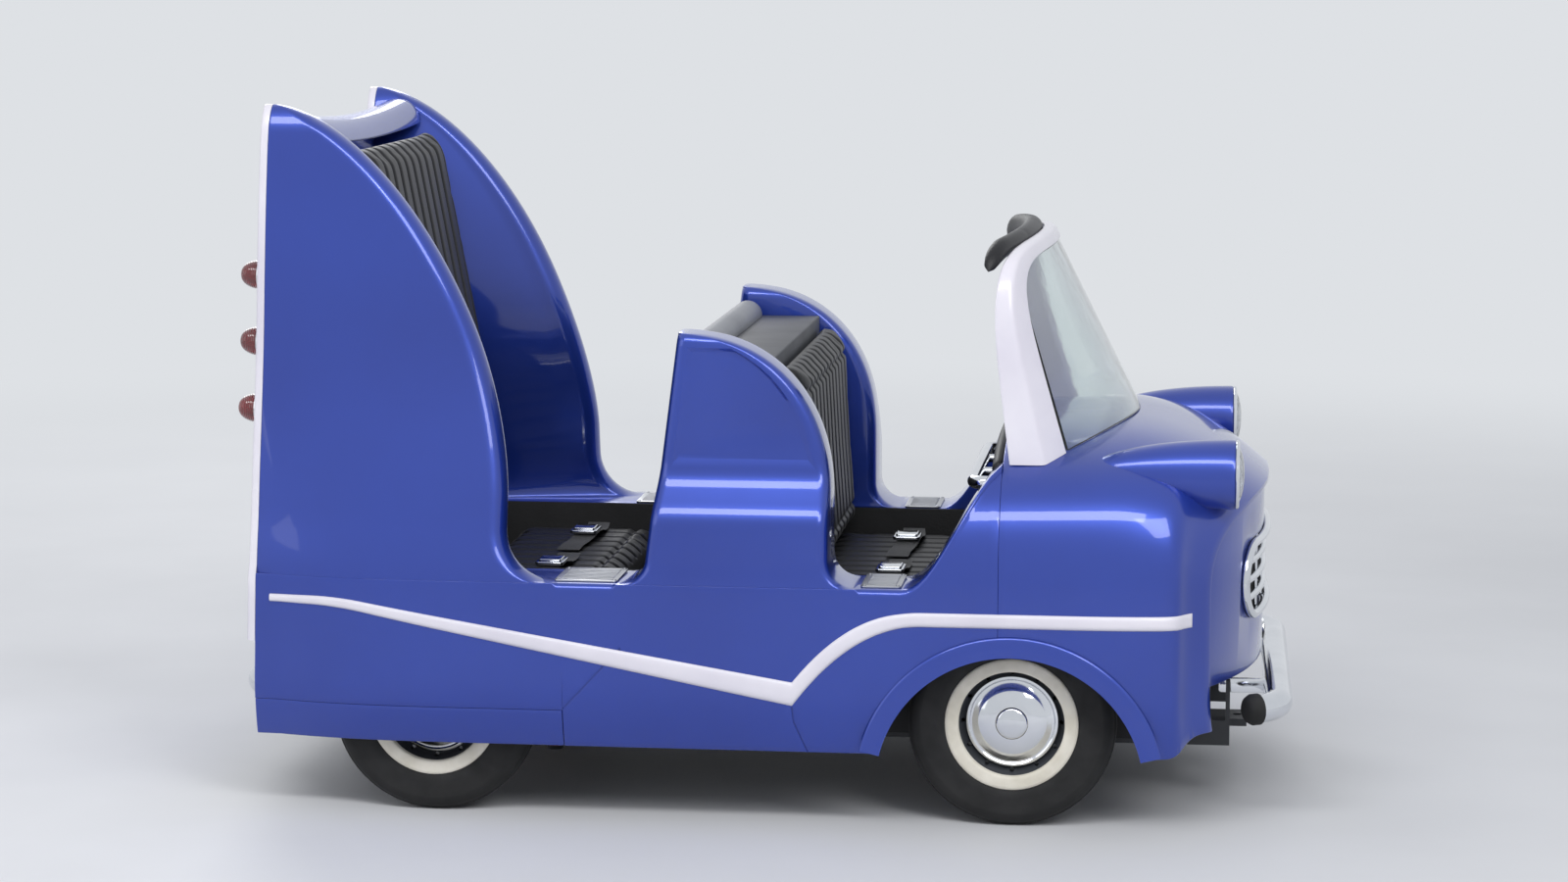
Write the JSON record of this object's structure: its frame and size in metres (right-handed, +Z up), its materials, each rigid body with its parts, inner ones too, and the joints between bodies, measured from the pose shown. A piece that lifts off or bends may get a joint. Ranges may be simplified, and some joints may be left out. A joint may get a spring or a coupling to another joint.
{
  "type": "amusement ride car",
  "caption": "Open fairground ride car with tall tail fins, bullet tail lamps, bench seats, wraparound screen, whitewall wheels and guide trucks.",
  "frame": {"origin": "on the floor, at the middle of the car's length and width", "axes": "+X to the front of the car, +Y to its left, +Z up"},
  "size_m": [1.98, 1.132, 1.3132],
  "materials": {
    "body_paint": "gloss metallic blue",
    "white_gloss": "gloss white gel coat",
    "red_lens": "deep red moulded lens",
    "chrome": "polished chrome",
    "clear_lens": "fluted clear lens",
    "brushed_steel": "brushed",
    "screen_glass": "clear acrylic",
    "black_vinyl": "grained black vinyl",
    "grey_plastic": "moulded dark grey",
    "black_liner": "textured black liner",
    "webbing": "woven black webbing",
    "chassis_paint": "satin grey paint",
    "tyre": "black rubber with a white wall",
    "roller_urethane": "cast urethane"
  },
  "bodies": {
    "car": {"side_right": "body_paint", "side_left": "body_paint", "fin_right": "body_paint", "fin_left": "body_paint", "pods": "body_paint", "wheel_skirts": "body_paint", "bezels": "white_gloss", "tail_lamps": "red_lens", "rear_panel": "body_paint", "front_clip": "body_paint", "nose_panel": "body_paint", "grille": "chrome", "headlamp_pods": "body_paint", "headlamps": "clear_lens", "arch_lips": "body_paint", "side_trim": "white_gloss", "sill_plates": "brushed_steel", "windscreen_frame": "white_gloss", "windscreen": "screen_glass", "header_pad": "black_vinyl", "dash": "grey_plastic", "grab_bar": "chrome", "tub": "black_liner", "seat_divider": "grey_plastic", "grab_handles": "chrome", "seat_bases": "black_liner", "rear_cushion": "black_vinyl", "rear_back": "black_vinyl", "rear_shell": "grey_plastic", "front_cushion": "black_vinyl", "front_back": "black_vinyl", "lap_belts": "webbing", "bumpers": "chrome", "chassis": "chassis_paint", "axles": "chassis_paint"},
    "truck_front": {"truck_front": "chassis_paint"},
    "truck_rear": {"truck_rear": "chassis_paint"},
    "wheel_fr": {"rim_fr": "chrome", "tyre_fr": "tyre"},
    "wheel_fl": {"rim_fl": "chrome", "tyre_fl": "tyre"},
    "wheel_rr": {"rim_rr": "chrome", "tyre_rr": "tyre"},
    "wheel_rl": {"rim_rl": "chrome", "tyre_rl": "tyre"},
    "roller_fr": {"roller_fr": "roller_urethane"},
    "roller_fl": {"roller_fl": "roller_urethane"},
    "roller_rr": {"roller_rr": "roller_urethane"},
    "roller_rl": {"roller_rl": "roller_urethane"}
  },
  "joints": [
    {"name": "wheel_fr_spin", "type": "hinge", "parent": "car", "child": "wheel_fr", "pos_m": [0.478, -0.453, 0.192], "axis": [0, 1, 0], "continuous": true},
    {"name": "wheel_fl_spin", "type": "hinge", "parent": "car", "child": "wheel_fl", "pos_m": [0.478, 0.453, 0.192], "axis": [0, 1, 0], "continuous": true},
    {"name": "wheel_rr_spin", "type": "hinge", "parent": "car", "child": "wheel_rr", "pos_m": [-0.6, -0.453, 0.192], "axis": [0, 1, 0], "continuous": true},
    {"name": "wheel_rl_spin", "type": "hinge", "parent": "car", "child": "wheel_rl", "pos_m": [-0.6, 0.453, 0.192], "axis": [0, 1, 0], "continuous": true},
    {"name": "truck_front_swivel", "type": "hinge", "parent": "car", "child": "truck_front", "pos_m": [0.328, 0, 0.084], "axis": [0, 0, 1], "range_deg": [-20, 20]},
    {"name": "roller_fr_spin", "type": "hinge", "parent": "truck_front", "child": "roller_fr", "pos_m": [0.328, -0.059, 0.055], "axis": [0, 0, 1], "continuous": true},
    {"name": "roller_fl_spin", "type": "hinge", "parent": "truck_front", "child": "roller_fl", "pos_m": [0.328, 0.059, 0.055], "axis": [0, 0, 1], "continuous": true},
    {"name": "truck_rear_swivel", "type": "hinge", "parent": "car", "child": "truck_rear", "pos_m": [-0.45, 0, 0.084], "axis": [0, 0, 1], "range_deg": [-20, 20]},
    {"name": "roller_rr_spin", "type": "hinge", "parent": "truck_rear", "child": "roller_rr", "pos_m": [-0.45, -0.059, 0.055], "axis": [0, 0, 1], "continuous": true},
    {"name": "roller_rl_spin", "type": "hinge", "parent": "truck_rear", "child": "roller_rl", "pos_m": [-0.45, 0.059, 0.055], "axis": [0, 0, 1], "continuous": true}
  ]
}
